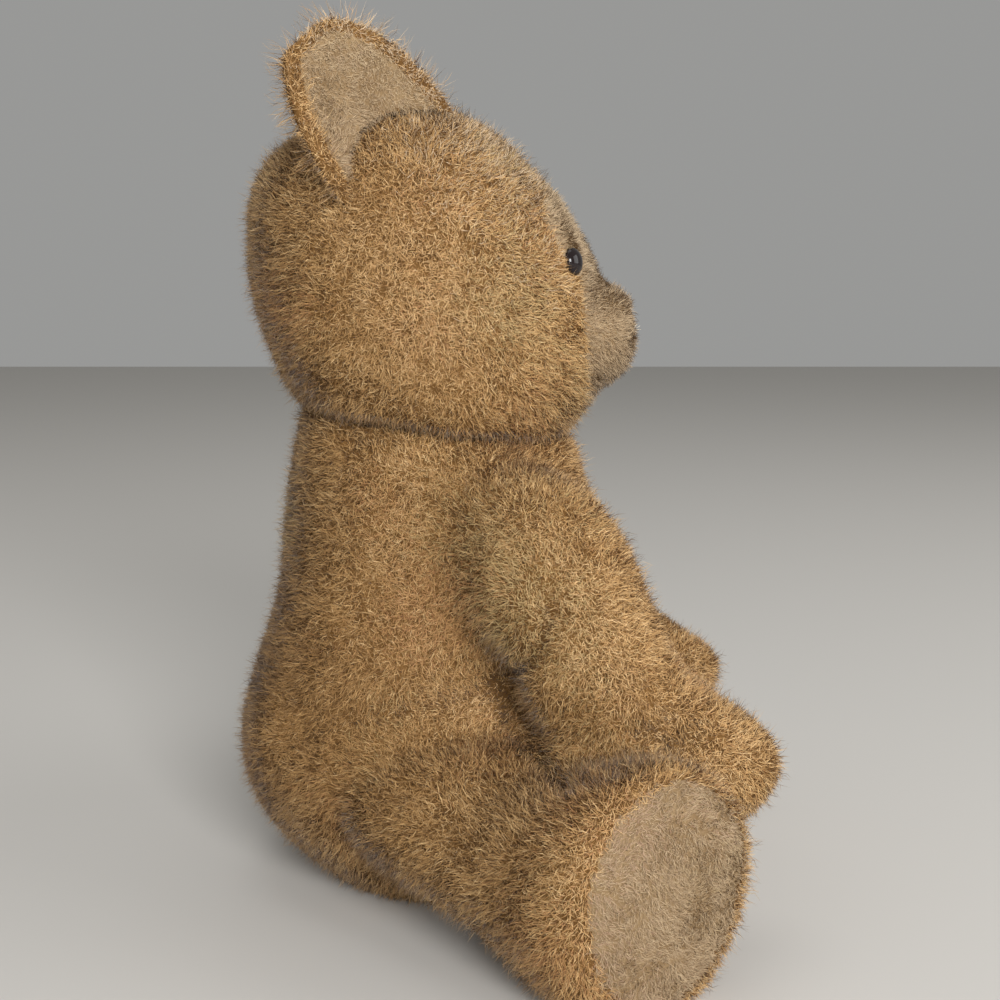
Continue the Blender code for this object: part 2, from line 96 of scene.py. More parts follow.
# Gentle pushes that bring the outline to the photograph's: middle, shift and reach
Push = namedtuple("Push", "middle shift reach")
HEAD_PUSHES = (
    Push(Vector((0.0, -0.018, 0.286)), Vector((0.0, 0.0030, -0.0030)), 0.040),
    Push(Vector((0.0, 0.092, 0.272)), Vector((0.0, 0.0040, 0.0018)), 0.042),
)
BODY_PUSHES = (
    Push(Vector((-0.140, -0.075, 0.018)), Vector((0.0, 0.0040, 0.0)), 0.026),
    Push(Vector((0.140, -0.075, 0.018)), Vector((0.0, 0.0040, 0.0)), 0.026),
    Push(Vector((0.0, 0.098, 0.042)), Vector((0.0, 0.0034, -0.0006)), 0.044),
    Push(Vector((-0.078, -0.093, 0.046)), Vector((0.0, 0.0010, -0.0040)), 0.014),
)
EAR_PUSHES = (
    Push(Vector((-0.050, 0.055, 0.321)), Vector((0.0, 0.0028, 0.0028)), 0.040),
    Push(Vector((0.050, 0.055, 0.321)), Vector((0.0, 0.0028, 0.0028)), 0.040),
)

# Folds seen in the photograph: pixels along each, depth at its two ends, width, and how dark the painted
# shade in it makes the strands
Fold = namedtuple("Fold", "pixels start_depth end_depth width dark")
FOLDS = (
    Fold(((488, 690), (507, 677), (540, 647), (553, 620)), 7.5 * MM, 1.5 * MM, 3.5 * MM, 1.0),
    Fold(((553, 620), (538, 595), (517, 573)), 1.5 * MM, 0.6 * MM, 5.0 * MM, 0.25),
    Fold(((488, 690), (513, 720), (537, 750), (567, 787)), 6.8 * MM, 3.5 * MM, 3.2 * MM, 0.9),
    Fold(((567, 787), (600, 776), (660, 772), (720, 775)), 1.2 * MM, 0.8 * MM, 3.5 * MM, 0.1),
    Fold(((488, 690), (440, 700), (370, 716), (300, 730)), 9.0 * MM, 4.5 * MM, 15.0 * MM, 0.45),
    Fold(((668, 748), (685, 738), (706, 722)), 4.5 * MM, 3.0 * MM, 3.2 * MM, 0.9),
    Fold(((637, 733), (655, 726), (672, 718)), 4.0 * MM, 2.5 * MM, 3.2 * MM, 0.7),
    Fold(((352, 440), (375, 436), (400, 444)), 2.2 * MM, 1.2 * MM, 2.2 * MM, 0.6),
)
FOLD_STEP = 1.0 * MM
# Reach of the painted shade around each fold's line, and how much of it fades towards the fold's end
FOLD_SHADE_REACH = 3.0 * MM
FOLD_SHADE_FADE = 0.6
# Where a skin meets its neighbour: how deep the seam is drawn in, its reach, and the reach of the painted
# shade that darkens the strands there
SEAM_DEPTH = 1.6 * MM
SEAM_REACH = 3.0 * MM
SEAM_SHADE_REACH = 1.8 * MM

# Coats: strands a square centimetre, their length, width and lean, and how they gather
Coat = namedtuple("Coat", "density length width lean lean_spread stray curl bent per_clump pull drift swirl")
PILE = Coat(density=270, length=4.4 * MM, width=0.37 * MM, lean=55, lean_spread=22, stray=1.8,
            curl=0.9 * MM, bent=0.18, per_clump=8, pull=0.20, drift=0.35, swirl=0.016)
EAR_PILE = Coat(density=280, length=3.1 * MM, width=0.36 * MM, lean=58, lean_spread=18, stray=1.6,
                curl=0.8 * MM, bent=0.2, per_clump=9, pull=0.24, drift=0.3, swirl=0.010)
FLYAWAY = Coat(density=26, length=7.0 * MM, width=0.23 * MM, lean=30, lean_spread=16, stray=1.2,
               curl=1.1 * MM, bent=0.5, per_clump=4, pull=0.1, drift=0.2, swirl=0.012)
RIM_HAIR = Coat(density=60, length=9.0 * MM, width=0.22 * MM, lean=24, lean_spread=14, stray=0.8,
                curl=0.9 * MM, bent=0.6, per_clump=5, pull=0.25, drift=0.1, swirl=0.012)
FACE_PLUSH = Coat(density=470, length=2.7 * MM, width=0.30 * MM, lean=48, lean_spread=18, stray=1.7,
                  curl=0.3 * MM, bent=0.0, per_clump=8, pull=0.2, drift=0.8, swirl=0.013)
FACE_TUFTS = Coat(density=90, length=4.0 * MM, width=0.28 * MM, lean=34, lean_spread=14, stray=1.2,
                  curl=0.5 * MM, bent=0.2, per_clump=12, pull=0.45, drift=0.3, swirl=0.013)
SOLE_PLUSH = Coat(density=350, length=3.4 * MM, width=0.28 * MM, lean=58, lean_spread=15, stray=1.25,
                  curl=0.6 * MM, bent=0.25, per_clump=10, pull=0.3, drift=0.5, swirl=0.015)

# Strands: how each differs from its neighbours, and its form from root to tip
GRAIN = Vector((0.0, -0.125, -0.4))
SWIRL_WAYS = (3.1, 1.3, 0.7)
COMB_SPREAD = 0.15
LEAN_LIMITS = (5, 84)
LENGTH_SPREAD = (0.7, 1.25)
WIDTH_SPREAD = (0.75, 1.25)
PULL_SPREAD = (0.3, 1.6)
ROOT_LEAN = 0.75
MIDDLE_SHIFT = 0.08
TIP_CURL = 0.5
BENT_WIDTH = 0.62
STRAND_TWIST = 55
SKIN_SHARE = 0.75
ROOT_DEPTH = 0.4 * MM
CREASE_PULL = 0.6

# Where the coats are matted, and where the bear sits on them
MATTED_SIZE = 0.030
MATTED_SHARE = 0.15
MATTED_LIMITS = (-0.5, 1)
SAT_ON_HEIGHT = 3.0 * MM
SAT_ON_FACING = -0.8
SAT_ON_THINNING = 0.7
FLOOR_CLEARANCE = 0.4 * MM

# The palette: five families of strand colours, side by side in the strands' own map; the last one is painted
# shade for the folds
COLUMNS = 192
COLUMN_MARGIN = 0.15
Family = namedtuple("Family", "start width")
GOLD = Family(0.0, 0.44)
FADED = Family(0.46, 0.11)
OLIVE = Family(0.59, 0.11)
RUSSET = Family(0.72, 0.11)
CREASE_SHADE = Family(0.85, 0.14)
ROOT_V, MIDDLE_V, TIP_V = 0.03, 0.50, 0.97

# Tones within a family: the middle one, and how far clumps, clouds and single strands are from it
TONE_MIDDLE = 0.52
CLUMP_TONE = 0.07
CLOUD_TONE = 0.045
CLOUD_SIZE = 0.022
STRAND_TONE = 0.25
TONE_LIMITS = (0.02, 0.98)
# How dark the painted crease shade gets towards a fold's middle
CREASE_SHADE_TONE = 1.3

# The families by place: fields of patches, the levels from which a strand is olive or russet, and fading
PATCH_WAYS = (2.3, 0.9, 4.1)
PATCH_GAIN = 2.0
CLOUD_SEED, OLIVE_SEED, RUSSET_SEED, MATTED_SEED = 3, 5, 8, 11
OLIVE_SIZE = 0.050
RUSSET_SIZE = 0.040
PATCH_SPREAD = 0.6
Levels = namedtuple("Levels", "olive russet")
BODY_LEVELS = Levels(1.2, 1.3)
HEAD_LEVELS = Levels(1.0, 1.2)
FACE_LEVELS = Levels(1.8, 1.6)
FADED_FROM = 0.262
FADED_UPWARD = 0.045
FADED_FORWARD = 0.8
FADED_LEVEL = 0.5
FADED_SPREAD = 0.5

# Painted shade at the lower back, as (y, z), its reach and how much darker it makes the strands
BACK_SHADE_AT = (0.075, 0.085)
BACK_SHADE_REACH = 0.045
BACK_SHADE_DEPTH = 0.24

# Face, as the part's own source has it
EYE_FACING = Vector((0.42, -0.90, 0.10))
EYE_RADIUS = 5.5 * MM
EYE_DOME = 3.8 * MM
EYE_EDGE = 0.6 * MM
EYE_BEVEL = 0.4
SHANK_RADIUS = 1.4 * MM
SHANK_LENGTH = 11.0 * MM
EYE_STEPS = 48
DOME_STEPS = 14
EYE_SUNK = 2.8 * MM
EYE_RAISED = 0.8 * MM
EYE_TRIM = 5.0 * MM
EYE_SHORT = 12.0 * MM
EYE_LASHES = 0.7
EYE_SHORTEST = 0.45
FRONT_Y = -1.0

# Threads of the nose and mouth, and the loose ends at the nose: where they start and which ways they stand
STITCH_SPACING = 0.72 * MM
STITCH_RADIUS = 0.45 * MM
STITCH_SUNK = 0.3
STITCH_RINGS = 9
STITCH_SIDES = 8
THREAD_END = 0.12
THREAD_BLUNTNESS = 0.4
NOSE_LIFT = 0.6 * MM
MOUTH_LIFT = 0.6 * MM
NOSE_REACH = 15.0 * MM
NOSE_LEVEL = 0.2 * MM
FEWEST_LEVELS = 5
RAGGED_TOP = 0.25 * MM
RAGGED_BOTTOM = 0.35 * MM
RAGGED_SIDE = 0.1 * MM
MOUTH_WORDS = ("middle", "right", "left")
LOOSE_END_AT = (-0.0015, 0.2197)
LOOSE_END_RADIUS = 0.12 * MM
LOOSE_END_STEPS = 4
LOOSE_END_WAYS = (Vector((-0.4, -3.2, 1.7)) * MM, Vector((0.3, -3.6, 0.3)) * MM,
                  Vector((-0.2, -2.6, -1.2)) * MM, Vector((0.5, -2.2, 2.4)) * MM)

# How the body is divided into pieces, and where the random draws of each start
LIMBS = ["torso", "arm_right", "arm_left", "leg_right", "leg_left"]
BACK_FROM_Y = 0.03
LIMB_SEED = 10
SIDE_SEEDS = (("right", 40, 43), ("left", 30, 33))

# Strand colours, as stops along the palette; the stops from 0.85 on are the painted crease shade
PILE_TIPS = ((0.0, "7E5C34"), (0.14, "A57D4B"), (0.29, "C29B66"), (0.44, "E0BE8C"),
             (0.46, "8F7657"), (0.57, "D6BE9E"), (0.59, "8C7243"), (0.70, "D0B27E"),
             (0.72, "93633A"), (0.83, "CFA26C"), (0.85, "2A1C10"), (0.99, "7A5832"))
# The pile's roots are darker than its tips: painted shade among the strands
PILE_SHADED_ROOTS = ((0.0, "543A1F"), (0.22, "6E4E2B"), (0.44, "8C6A41"),
              (0.46, "67513A"), (0.57, "8B7459"), (0.59, "54432A"), (0.70, "7A643F"),
              (0.72, "5E3D23"), (0.83, "80593A"), (0.85, "1C130A"), (0.99, "4C351D"))
PLUSH_TIPS = ((0.0, "8A7155"), (0.22, "A08869"), (0.44, "BCA483"),
              (0.46, "97805F"), (0.57, "C8B08D"), (0.59, "8F7956"), (0.70, "BAA27C"),
              (0.72, "94735A"), (0.83, "B89C80"), (0.85, "5E4931"), (0.99, "8A6E50"))
# The plush's roots are darker than its tips: painted shade among the strands
PLUSH_SHADED_ROOTS = ((0.0, "6C563D"), (0.44, "89745A"),
               (0.46, "745F46"), (0.57, "927D60"), (0.59, "6B583F"), (0.70, "89745A"),
               (0.72, "6F5341"), (0.83, "8C725C"), (0.85, "41311F"), (0.99, "65503A"))
TIP_COLOUR_FROM = 0.6

# The other materials: cloth grain, the eyes' black, and the floor's and the room's grey
CLOTH_DETAIL = 6.0
CLOTH_BUMP = 0.4
CLOTH_BUMP_HEIGHT = 0.4 * MM
EYE_BLACK = (0.012, 0.008, 0.008, 1.0)
FLOOR_COLOUR = "C9C6C1"
ROOM_COLOUR = "DADAD8"

# Lights and floor
Lamp = namedtuple("Lamp", "name at size power")
LAMPS = (
    Lamp("key", (-2.05, -0.48, 0.84), 0.80, 59.0),
    Lamp("fill", (-0.4, -2.1, 0.9), 1.5, 21.0),
    Lamp("top", (0.3, 0.2, 2.6), 1.5, 10.0),
)
LIT_PLACE = Vector((0.0, 0.0, 0.15))
ROOM_LIGHT = 0.45
FLOOR_HALF = 4.0
CLIP_START = 0.01


def camera_axes():
    """Ahead, right and up of the photograph's camera."""
    ahead = Vector((math.cos(CAMERA_PITCH), 0.0, -math.sin(CAMERA_PITCH)))
    right = Vector((0.0, -1.0, 0.0))
    return ahead, right, right.cross(ahead)


def pixel_ray(pixel):
    """The direction from the camera to a pixel of the photograph."""
    ahead, right, up = camera_axes()
    u, v = pixel
    middle = PHOTO_SIZE / 2
    return (ahead + right * (u - middle) / FOCAL_PIXELS + up * (middle - v) / FOCAL_PIXELS).normalized()


# Skins

class Skin:
    """A surface as arrays: points, faces of four corners, and the node that each face stands for.

    For each point, shade is the painted shade that darkens its strands in a fold, and toward is the way to
    the nearest fold.
    """

    def __init__(self, names, points, quads):
        self.names = names
        self.points = points
        self.quads = quads
        self.owners = np.zeros(len(quads), int)
        self.shade = np.zeros(len(points))
        self.toward = np.zeros((len(points), 3))

    def normals(self):
        """Smooth normals of the points, weighted by the faces' areas."""
        triangles = halved(self.quads)
        a, b, c = (self.points[triangles[:, i]] for i in range(3))
        flat = np.cross(b - a, c - a)
        total = np.zeros_like(self.points)
        for i in range(3):
            for axis in range(3):
                total[:, axis] += np.bincount(triangles[:, i], flat[:, axis], len(self.points))
        return unit(total)

    def tree(self):
        return BVHTree.FromPolygons(self.points.tolist(), self.quads.tolist())

    def owned(self, *names):
        """Which faces stand for the named nodes."""
        return np.isin(self.owners, [self.names.index(name) for name in names])


def halved(quads):
    """Each face of four corners as two triangles."""
    return np.concatenate((quads[:, (0, 1, 2)], quads[:, (0, 2, 3)]))


def node_tree(name):
    """A node's own faces, for the nearest place on it or a ray to it."""
    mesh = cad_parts[name].data
    return BVHTree.FromPolygons([v.co for v in mesh.vertices], [tuple(p.vertices) for p in mesh.polygons])


def from_front(tree, x, z):
    """The place and normal of a surface at (x, z), seen from the front, or None for both."""
    return tree.ray_cast(Vector((x, FRONT_Y, z)), Vector((0, 1, 0)))[:2]


def unit(vectors):
    return vectors / np.maximum(np.linalg.norm(vectors, axis=-1, keepdims=True), SMALLEST)


def joined(names):
    """One scratch object of several nodes, each swollen a little so that neighbours overlap."""
    shape = bmesh.new()
    for name in names:
        part = bmesh.new()
        part.from_mesh(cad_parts[name].data)
        bmesh.ops.remove_doubles(part, verts=part.verts, dist=WELD)
        part.normal_update()
        for vertex in part.verts:
            vertex.co += vertex.normal * OVERLAP
        mesh = bpy.data.meshes.new("swollen")
        part.to_mesh(mesh)
        part.free()
        shape.from_mesh(mesh)
        bpy.data.meshes.remove(mesh)
    mesh = bpy.data.meshes.new("joined")
    shape.to_mesh(mesh)
    shape.free()
    obj = bpy.data.objects.new("joined", mesh)
    bpy.context.scene.collection.objects.link(obj)
    return obj


def remeshed(names, voxel):
    """The nodes as one even skin of small four-cornered faces."""
    obj = joined(names)
    modifier = obj.modifiers.new("even", "REMESH")
    modifier.mode = "VOXEL"
    modifier.voxel_size = voxel
    graph = bpy.context.evaluated_depsgraph_get()
    mesh = bpy.data.meshes.new_from_object(obj.evaluated_get(graph))
    points = np.empty(len(mesh.vertices) * 3)
    mesh.vertices.foreach_get("co", points)
    corners = np.empty(len(mesh.loops), int)
    mesh.loops.foreach_get("vertex_index", corners)
    bpy.data.meshes.remove(mesh)
    bpy.data.objects.remove(obj)
    return Skin(names, *in_fixed_order(points.reshape(-1, 3), corners.reshape(-1, 4)))


def in_fixed_order(points, quads):
    """Sorts points and faces by place, as the remesh gives them in another order each run."""
    order = np.lexsort(points.T)
    rank = np.empty(len(points), int)
    rank[order] = np.arange(len(points))
    quads = rank[quads]
    first = np.argmin(quads, axis=1)[:, None]
    quads = np.take_along_axis(quads, (first + np.arange(4)) % 4, axis=1)
    return points[order], quads[np.lexsort(quads.T[::-1])]


def relax(skin, rounds, share):
    """Moves each point towards the middle of its neighbours, by its own share, some rounds over."""
    quads = skin.quads
    one = quads.ravel()
    other = np.roll(quads, -1, axis=1).ravel()
    ends = np.concatenate((one, other))
    starts = np.concatenate((other, one))
    count = np.bincount(ends, minlength=len(skin.points))[:, None]
    for _ in range(rounds):
        sums = [np.bincount(ends, skin.points[starts, axis], len(skin.points)) for axis in range(3)]
        skin.points += (np.stack(sums, axis=1) / count - skin.points) * share


def share_out(skin):
    """Gives each face to the node that lies nearest to it."""
    centres = skin.points[skin.quads].mean(axis=1)
    distances = []
    for name in skin.names:
        tree = node_tree(name)
        distances.append([tree.find_nearest(centre)[3] for centre in centres])
    skin.owners = np.argmin(np.array(distances), axis=0)


def noise_places(points, size, ways, seed):
    """The points as places in a noise field, shifted so that each seed reads its own part of it."""
    shift = Vector([way * seed for way in ways])
    return [Vector(point) / size + shift for point in points]


def lumpy(skin, seed):
    """Raises and sinks the skin gently, as loose filling does."""
    places = noise_places(skin.points, LUMP_SIZE, LUMP_WAYS, seed)
    heights = np.array([noise.noise(place) for place in places])
    skin.points += skin.normals() * (heights * LUMP_HEIGHT)[:, None]


def fold_lines(skin):
    """The folds' middle lines on both sides of the skin, as rows of (point, depth, width, painted shade)."""
    tree = skin.tree()
    rows = []
    for fold in FOLDS:
        corners = [tree.ray_cast(CAMERA_AT, pixel_ray(pixel))[0] for pixel in fold.pixels]
        corners = [corner for corner in corners if corner]
        for side in (1, -1):
            placed = [tree.find_nearest(Vector((c.x * side, c.y, c.z)))[0] for c in corners]
            rows += fold_points(placed, fold)
    return rows


def fold_points(corners, fold):
    """Evenly spaced points along a fold, with the depth that it has there."""
    lengths = [0.0]
    for start, end in zip(corners, corners[1:]):
        lengths.append(lengths[-1] + (end - start).length)
    rows = []
    for step in range(int(lengths[-1] / FOLD_STEP) + 1):
        along = step * FOLD_STEP
        i = max(k for k in range(len(corners) - 1) if lengths[k] <= along)
        share = (along - lengths[i]) / max(lengths[i + 1] - lengths[i], SMALL)
        point = corners[i].lerp(corners[i + 1], min(share, 1.0))
        fade = along / max(lengths[-1], SMALL)
        depth = fold.start_depth + (fold.end_depth - fold.start_depth) * fade
        rows.append((point, depth, fold.width, fold.dark * (1 - FOLD_SHADE_FADE * fade)))
    return rows


def press_folds(skin):
    """Presses the folds into the skin, and notes each point's painted shade and its way to the nearest fold.
    """
    rows = fold_lines(skin)
    places = np.array([row[0] for row in rows])
    depths, widths, fold_painted_shades = (np.array([row[i] for row in rows]) for i in (1, 2, 3))
    inward = np.zeros(len(skin.points))
    for i, point in enumerate(skin.points):
        away = np.linalg.norm(places - point, axis=1)
        inward[i] = np.max(depths * np.exp(-(away / widths) ** 2))
        skin.shade[i] = np.max(fold_painted_shades * np.exp(-(away / FOLD_SHADE_REACH) ** 2))
        skin.toward[i] = places[np.argmin(away)] - point
    skin.points -= skin.normals() * inward[:, None]


def push_gently(skin, pushes):
    """Shifts the skin around each push's middle, less and less towards its reach."""
    for push in pushes:
        away = np.linalg.norm(skin.points - np.array(push.middle), axis=1)
        skin.points += np.array(push.shift) * np.exp(-(away / push.reach) ** 2)[:, None]


def draw_in(skin, tree):
    """Draws a skin in by the height of its pile, or by a seam's depth where it meets its neighbour.

    Where the bear rests on the floor or on its neighbour there is no room for pile.
    """
    height, _ = beside(skin.points, tree)
    room = PILE_ROOM * np.clip(np.minimum(height, skin.points[:, 2]) / PILE_ROOM_FROM, 0.0, 1.0)
    seam = SEAM_DEPTH * np.exp(-(height / SEAM_REACH) ** 2)
    skin.points -= skin.normals() * np.maximum(room, seam)[:, None]


def even_skin(names, voxel):
    """The nodes as one skin of even faces, shared out among them."""
    skin = remeshed(names, voxel)
    share_out(skin)
    relax(skin, EVEN_ROUNDS, EVEN_SHARE)
    return skin


def blend_arms(skin):
    """Smooths the skin where the arms run into the body, on both sides."""
    near = [np.linalg.norm(skin.points - np.array((middle.x * side, middle.y, middle.z)), axis=1) / reach
            for side, _ in SIDES for middle, reach in BLENDS]
    share = np.clip(BLEND_EDGE - np.min(near, axis=0), 0.0, BLEND_SHARE)
    relax(skin, BLEND_ROUNDS, share[:, None])


def make_body_skin():
    skin = even_skin([*LIMBS, "foot_pad_right", "foot_pad_left", "paw_pad_right", "paw_pad_left"], BODY_VOXEL)
    blend_arms(skin)
    lumpy(skin, seed=1)
    push_gently(skin, BODY_PUSHES)
    press_folds(skin)
    skin.points[:, 2] = np.maximum(skin.points[:, 2], 0.0)
    return skin


def make_head_skin():
    skin = even_skin(["head", "muzzle"], HEAD_VOXEL)
    lumpy(skin, seed=2)
    push_gently(skin, HEAD_PUSHES)
    return skin


def make_ear_skin(word):
    skin = even_skin([f"ear_{word}", f"ear_lining_{word}"], EAR_VOXEL)
    skin.points -= skin.normals() * EAR_PILE_ROOM
    push_gently(skin, EAR_PUSHES)
    return skin


def mesh_object(name, mesh, material):
    mesh.materials.append(material)
    obj = bpy.data.objects.new(name, mesh)
    bpy.context.scene.collection.objects.link(obj)
    return obj


def piece(name, mesh, material, slot, *nodes):
    """A mesh as a visible piece, which stands for the nodes named."""
    obj = mesh_object(name, mesh, material)
    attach(obj, "root")
    if nodes:
        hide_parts(*nodes)
    return obj


def skin_piece(name, skin, nodes, cloth):
    """The part of a skin that some nodes own, as a stuffed piece that stands for them."""
    used, corners = np.unique(skin.quads[skin.owned(*nodes)], return_inverse=True)
    mesh = bpy.data.meshes.new(name)
    mesh.from_pydata(skin.points[used].tolist(), [], corners.reshape(-1, 4).tolist())
    mesh.shade_smooth()
    mesh.normals_split_custom_set_from_vertices(skin.normals()[used].tolist())
    piece(name, mesh, cloth.backing, cloth.slot, *nodes)


# Coats

def scatter(skin, chosen, density, rng):
    """Random places on the chosen faces: point, normal, painted shade of the nearest fold and the way to it.
    """
    triangles = halved(skin.quads[chosen])
    a, b, c = (skin.points[triangles[:, i]] for i in range(3))
    areas = np.linalg.norm(np.cross(b - a, c - a), axis=1) / 2
    count = int(areas.sum() / SQUARE_CM * density)
    picked = triangles[np.searchsorted(np.cumsum(areas), rng.random(count) * areas.sum())]
    s, t = rng.random((2, count))
    flip = s + t > 1
    s[flip], t[flip] = 1 - s[flip], 1 - t[flip]
    weights = np.stack((1 - s - t, s, t), axis=1)[:, :, None]
    normals = skin.normals()
    points = (skin.points[picked] * weights).sum(axis=1)
    facing = unit((normals[picked] * weights).sum(axis=1))
    shade = (skin.shade[picked] * weights[:, :, 0]).sum(axis=1)
    toward = (skin.toward[picked] * weights).sum(axis=1)
    return points, facing, shade, toward


def trimmed(points, facing, shade, toward, hidden_in, rng):
    """Leaves out strands inside a neighbour, over an eye or under the nose, and most that are sat on; darkens
    those near a neighbour with painted shade.
    """
    sat_on = (points[:, 2] < SAT_ON_HEIGHT) & (facing[:, 2] < SAT_ON_FACING)
    keep = rng.random(len(points)) > sat_on * SAT_ON_THINNING
    for eye in eyes_at:
        keep &= np.linalg.norm(points - eye, axis=1) > EYE_TRIM
    keep &= ~under_nose(points)
    points, facing, shade, toward = (rows[keep] for rows in (points, facing, shade, toward))
    if hidden_in is None:
        return points, facing, shade, toward
    height, way = beside(points, hidden_in)
    # Painted shade darkens the strands close to the neighbour's surface
    seam_shade = np.exp(-(height / SEAM_SHADE_REACH) ** 2)
    toward = np.where((seam_shade > shade)[:, None], way, toward)
    shade = np.maximum(shade, seam_shade)
    keep = height > 0
    return points[keep], facing[keep], shade[keep], toward[keep]


def under_nose(points):
    """Which points lie close behind the nose's outline, seen from the front."""
    low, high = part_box("nose")
    near = np.linalg.norm(points - np.array((low + high) / 2), axis=1) < NOSE_REACH
    found = np.zeros(len(points), bool)
    for i in np.flatnonzero(near):
        x, _, z = points[i]
        found[i] = from_front(nose_shape, x, z)[0] is not None
    return found


def beside(points, tree):
    """How far each point is outside a neighbour's surface, negative inside it, and the way to it."""
    height = np.empty(len(points))
    way = np.empty((len(points), 3))
    for i, point in enumerate(points):
        place, normal, _, distance = tree.find_nearest(Vector(point))
        way[i] = place - Vector(point)
        height[i] = math.copysign(distance, -normal.dot(Vector(way[i])))
    return height, way


def clumped(points, per_clump, rng):
    """Picks clump centres among the roots, and gives each root its nearest centre."""
    centres = rng.choice(len(points), max(len(points) // per_clump, 1), replace=False)
    tree = KDTree(len(centres))
    for i, centre in enumerate(centres):
        tree.insert(points[centre], i)
    tree.balance()
    return centres, np.array([tree.find(point)[1] for point in points])


def swirls(points, size):
    """A smoothly turning field of directions."""
    return np.array([noise.noise_vector(place) for place in noise_places(points, size, SWIRL_WAYS, 1)])


def patches(points, size, seed):
    """A smooth field of values, about -1 to 1."""
    places = noise_places(points, size, PATCH_WAYS, seed)
    return np.array([noise.noise(place) for place in places]) * PATCH_GAIN


def along_surface(vectors, normals):
    return unit(vectors - normals * (vectors * normals).sum(axis=1, keepdims=True))


def strand_ways(roots, facing, combed, stray, rng):
    """The way that each strand leans: as its clump does, but for strays, and towards an eye beside it."""
    stray = rng.normal(0, stray, len(roots))[:, None]
    way = along_surface(combed, facing)
    way = way * np.cos(stray) + np.cross(facing, way) * np.sin(stray)
    for eye in eyes_at:
        near = np.linalg.norm(roots - eye, axis=1)[:, None]
        pull_in = EYE_LASHES * np.clip((EYE_SHORT - near) / (EYE_SHORT - EYE_TRIM), 0.0, 1.0)
        way = along_surface(way * (1 - pull_in) + unit(eye - roots) * pull_in, facing)
    return way


def strand_lengths(roots, centres, own, length, rng):
    """The length of each strand: shorter where the pile is matted, and around the eyes."""
    matted = np.clip(patches(roots[centres], MATTED_SIZE, MATTED_SEED)[own], *MATTED_LIMITS)
    lengths = (length * rng.uniform(*LENGTH_SPREAD, len(roots)) * (1 - MATTED_SHARE * matted))[:, None]
    for eye in eyes_at:
        near = np.linalg.norm(roots - eye, axis=1)[:, None]
        clear = np.clip((near - EYE_TRIM) / (EYE_SHORT - EYE_TRIM), 0.0, 1.0)
        lengths *= clear * (1 - EYE_SHORTEST) + EYE_SHORTEST
    return lengths


def leaning(facing, way, lean):
    return np.cos(lean) * facing + np.sin(lean) * way


def strands(roots, facing, coat, rng):
    """The strands' middles and tips, which of them are bent, and the clump that each belongs to."""
    count = len(roots)
    centres, own = clumped(roots, coat.per_clump, rng)
    field = swirls(roots[centres], coat.swirl) + np.array(GRAIN) * coat.drift
    combed = along_surface(field + rng.normal(0, COMB_SPREAD, (len(centres), 3)), facing[centres])
    way = strand_ways(roots, facing, combed[own], coat.stray, rng)
    lean = np.radians(np.clip(coat.lean + rng.normal(0, coat.lean_spread, count), *LEAN_LIMITS))[:, None]
    length = strand_lengths(roots, centres, own, coat.length, rng)
    tips = roots + length * leaning(facing, way, lean)
    gathered = roots[centres] + coat.length * leaning(facing[centres], combed, math.radians(coat.lean))
    tips += (gathered[own] - tips) * (coat.pull * rng.uniform(*PULL_SPREAD, count))[:, None]
    curl = np.cross(facing, way) * (coat.curl * rng.normal(0, 1, count))[:, None]
    middles = roots + length * 0.5 * leaning(facing, way, lean * ROOT_LEAN) + curl
    middles += (tips - roots) * MIDDLE_SHIFT
    bent = rng.random(count) < coat.bent
    middles = np.where(bent[:, None], middles, roots)
    tips = np.where(bent[:, None], tips - curl * TIP_CURL, tips)
    return middles, tips, bent, centres, own


def columns(points, centres, own, levels, shade, rng):
    """A palette column for each strand: its family by place or by painted crease shade, its tone by clump and
    by strand.
    """
    count = len(points)
    clump_tone = TONE_MIDDLE + CLUMP_TONE * rng.normal(0, 1, len(centres))
    clump_tone += CLOUD_TONE * patches(points[centres], CLOUD_SIZE, CLOUD_SEED)
    # Painted shade at the lower back lowers the strands' tone there
    away = (points[:, 1] - BACK_SHADE_AT[0]) ** 2 + (points[:, 2] - BACK_SHADE_AT[1]) ** 2
    back_shade = BACK_SHADE_DEPTH * np.exp(-away / BACK_SHADE_REACH ** 2)
    tone = np.clip(clump_tone[own] - back_shade + STRAND_TONE * rng.normal(0, 1, count), *TONE_LIMITS)
    olive = patches(points[centres], OLIVE_SIZE, OLIVE_SEED)[own] + rng.normal(0, PATCH_SPREAD, count)
    russet = patches(points[centres], RUSSET_SIZE, RUSSET_SEED)[own] + rng.normal(0, PATCH_SPREAD, count)
    fade = (points[:, 2] - FADED_FROM) / FADED_UPWARD - FADED_FORWARD * points[:, 1] / FADED_UPWARD
    # Strands near a fold take the painted crease shade family, darker towards the fold's middle
    in_crease_shade = rng.random(count) < shade
    faded = fade > rng.normal(FADED_LEVEL, FADED_SPREAD, count)
    start = np.full(count, GOLD.start)
    width = np.full(count, GOLD.width)
    for family, theirs in ((OLIVE, olive > levels.olive), (RUSSET, russet > levels.russet),
                           (FADED, faded), (CREASE_SHADE, in_crease_shade)):
        start[theirs] = family.start
        width[theirs] = family.width
    return start + width * np.where(in_crease_shade, tone * (CREASE_SHADE_TONE - shade), tone)


